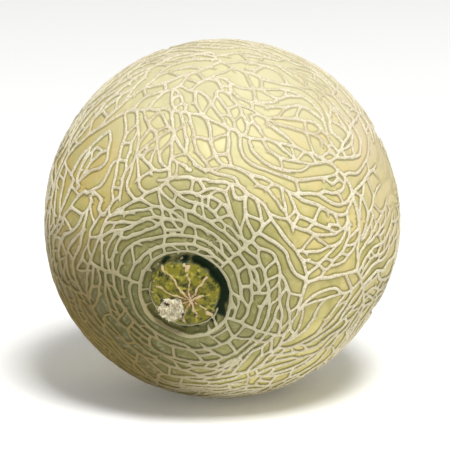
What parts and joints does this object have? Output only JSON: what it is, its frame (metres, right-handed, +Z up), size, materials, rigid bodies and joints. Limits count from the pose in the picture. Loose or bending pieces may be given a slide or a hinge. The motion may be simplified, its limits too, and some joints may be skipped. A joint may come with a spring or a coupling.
{
  "type": "cantaloupe melon",
  "caption": "Whole ripe cantaloupe melon with a raised corky net, lying on its side on a small flat spot, its stem end facing forwards and slightly down.",
  "frame": {"origin": "under the middle of the fruit's box, on the surface it rests on", "axes": "+Z up; the stem end faces -Y and points 10.4 degrees below level, the blossom end faces +Y; +X to the right as the stem end is looked at"},
  "size_m": [0.1406, 0.1508, 0.1389],
  "materials": {
    "rind": "dry netted rind: beige corky net over satin olive-yellow skin, darker green round the stem end, pale yellow on top"
  },
  "bodies": {
    "root": {"melon": "rind"}
  },
  "joints": []
}
